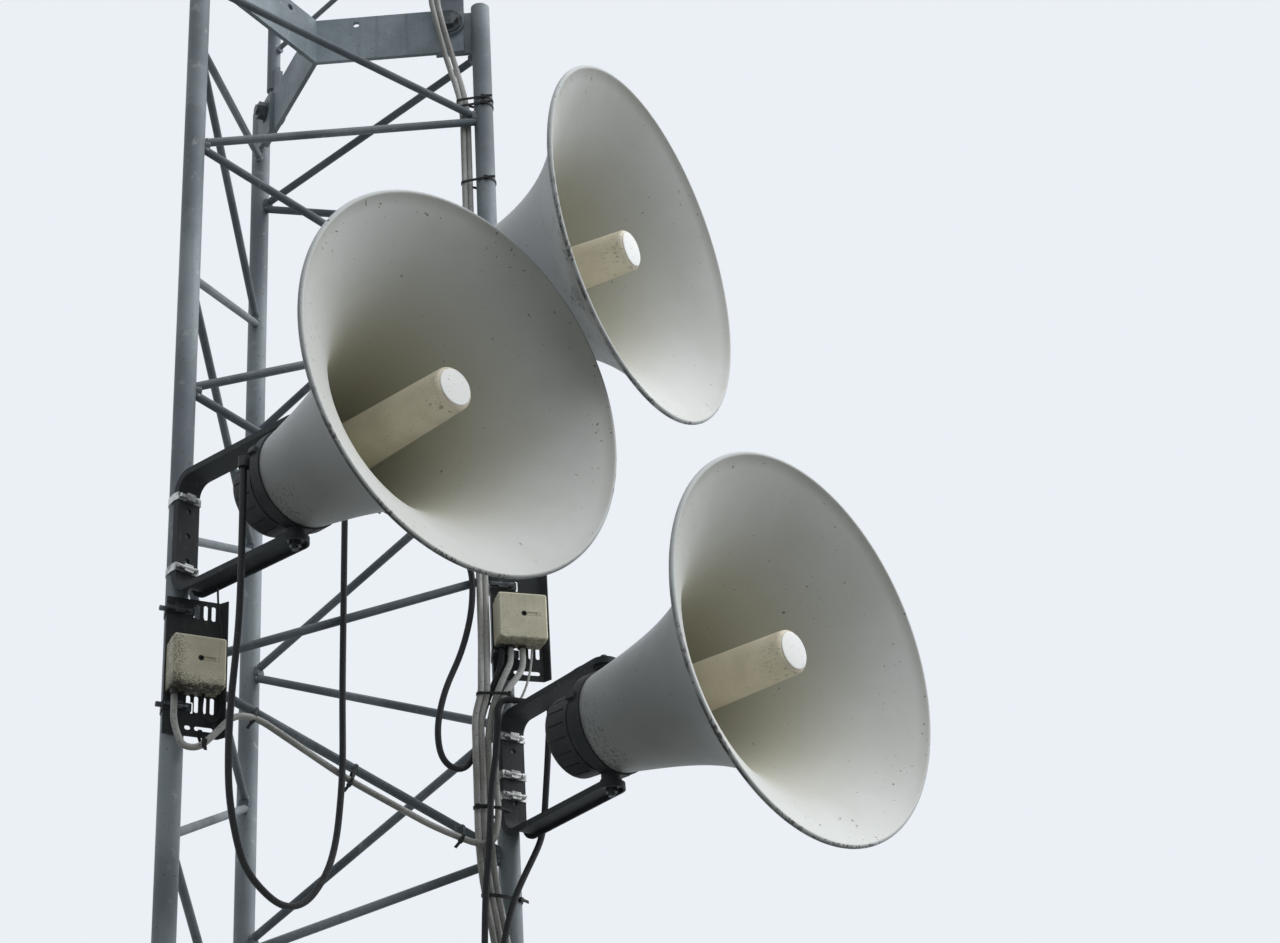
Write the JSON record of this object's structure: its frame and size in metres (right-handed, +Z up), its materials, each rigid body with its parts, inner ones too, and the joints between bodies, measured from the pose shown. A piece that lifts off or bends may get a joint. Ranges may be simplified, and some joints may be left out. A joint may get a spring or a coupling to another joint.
{
  "type": "civil defense siren tower",
  "caption": "Triangular lattice mast with flared horn loudspeakers on pivoting brackets, junction boxes and cables.",
  "frame": {"origin": "centre of the base plate's underside, on the mast's axis, at ground level", "axes": "+Z up along the mast, +Y from the front face with the horns to the rear leg, +X to the right seen from the front"},
  "size_m": [1.0819, 1.254, 5.4],
  "materials": {
    "mast_paint": "weathered grey paint with rust",
    "dark_paint": "dark paint, matt",
    "bracket_paint": "dark paint, worn",
    "zinc": "zinc plated, dulled",
    "bell_paint": "satin grey enamel",
    "core_paint": "satin cream enamel",
    "cast_collar": "cast, painted grey",
    "driver_black": "dark moulded housing",
    "box_plastic": "weathered beige moulding",
    "galvanised": "galvanised",
    "cable_grey": "grey sheath",
    "cord_black": "black sheath"
  },
  "bodies": {
    "tower": {"base_plate": "dark_paint", "leg_a": "mast_paint", "leg_b": "mast_paint", "leg_c": "mast_paint", "lattice_ab": "mast_paint", "lattice_bc": "mast_paint", "lattice_ca": "mast_paint", "star_bracket": "dark_paint", "star_lugs": "mast_paint", "star_bolts": "zinc", "upper_legs": "dark_paint", "upper_lattice_ab": "dark_paint", "upper_lattice_bc": "dark_paint", "upper_lattice_ca": "dark_paint", "upper_frame": "dark_paint", "bracket_1": "bracket_paint", "bracket_2": "bracket_paint", "bracket_3": "bracket_paint", "band_clamps": "zinc", "pivot_bolts": "zinc", "slotted_plate_1": "bracket_paint", "slotted_plate_2": "bracket_paint", "plate_clamps": "zinc", "junction_box_1": "box_plastic", "junction_box_2": "box_plastic", "conduit_stub": "galvanised", "upper_cables": "cable_grey", "feed_cable": "cable_grey", "link_cable": "cable_grey", "loop_cord_1": "cord_black", "loop_cord_3": "cord_black"},
    "horn_1": {"bell_1": "bell_paint", "core_1": "core_paint", "driver_1": "driver_black", "collar_1": "cast_collar", "horn_cord_1": "cord_black"},
    "horn_2": {"bell_2": "bell_paint", "core_2": "core_paint", "driver_2": "driver_black", "collar_2": "cast_collar"},
    "horn_3": {"bell_3": "bell_paint", "core_3": "core_paint", "driver_3": "driver_black", "collar_3": "cast_collar", "horn_cord_3": "cord_black"}
  },
  "joints": [
    {"name": "horn_1_pan", "type": "hinge", "parent": "tower", "child": "horn_1", "pos_m": [-0.16247, -0.3872, 3.212], "axis": [0, 0, 1], "range_deg": [-25, 0]},
    {"name": "horn_2_pan", "type": "hinge", "parent": "tower", "child": "horn_2", "pos_m": [0.08791, -0.33878, 3.578], "axis": [0, 0, 1], "range_deg": [0, 25]},
    {"name": "horn_3_pan", "type": "hinge", "parent": "tower", "child": "horn_3", "pos_m": [0.31135, -0.40285, 2.892], "axis": [0, 0, 1], "range_deg": [-20, 25]}
  ]
}
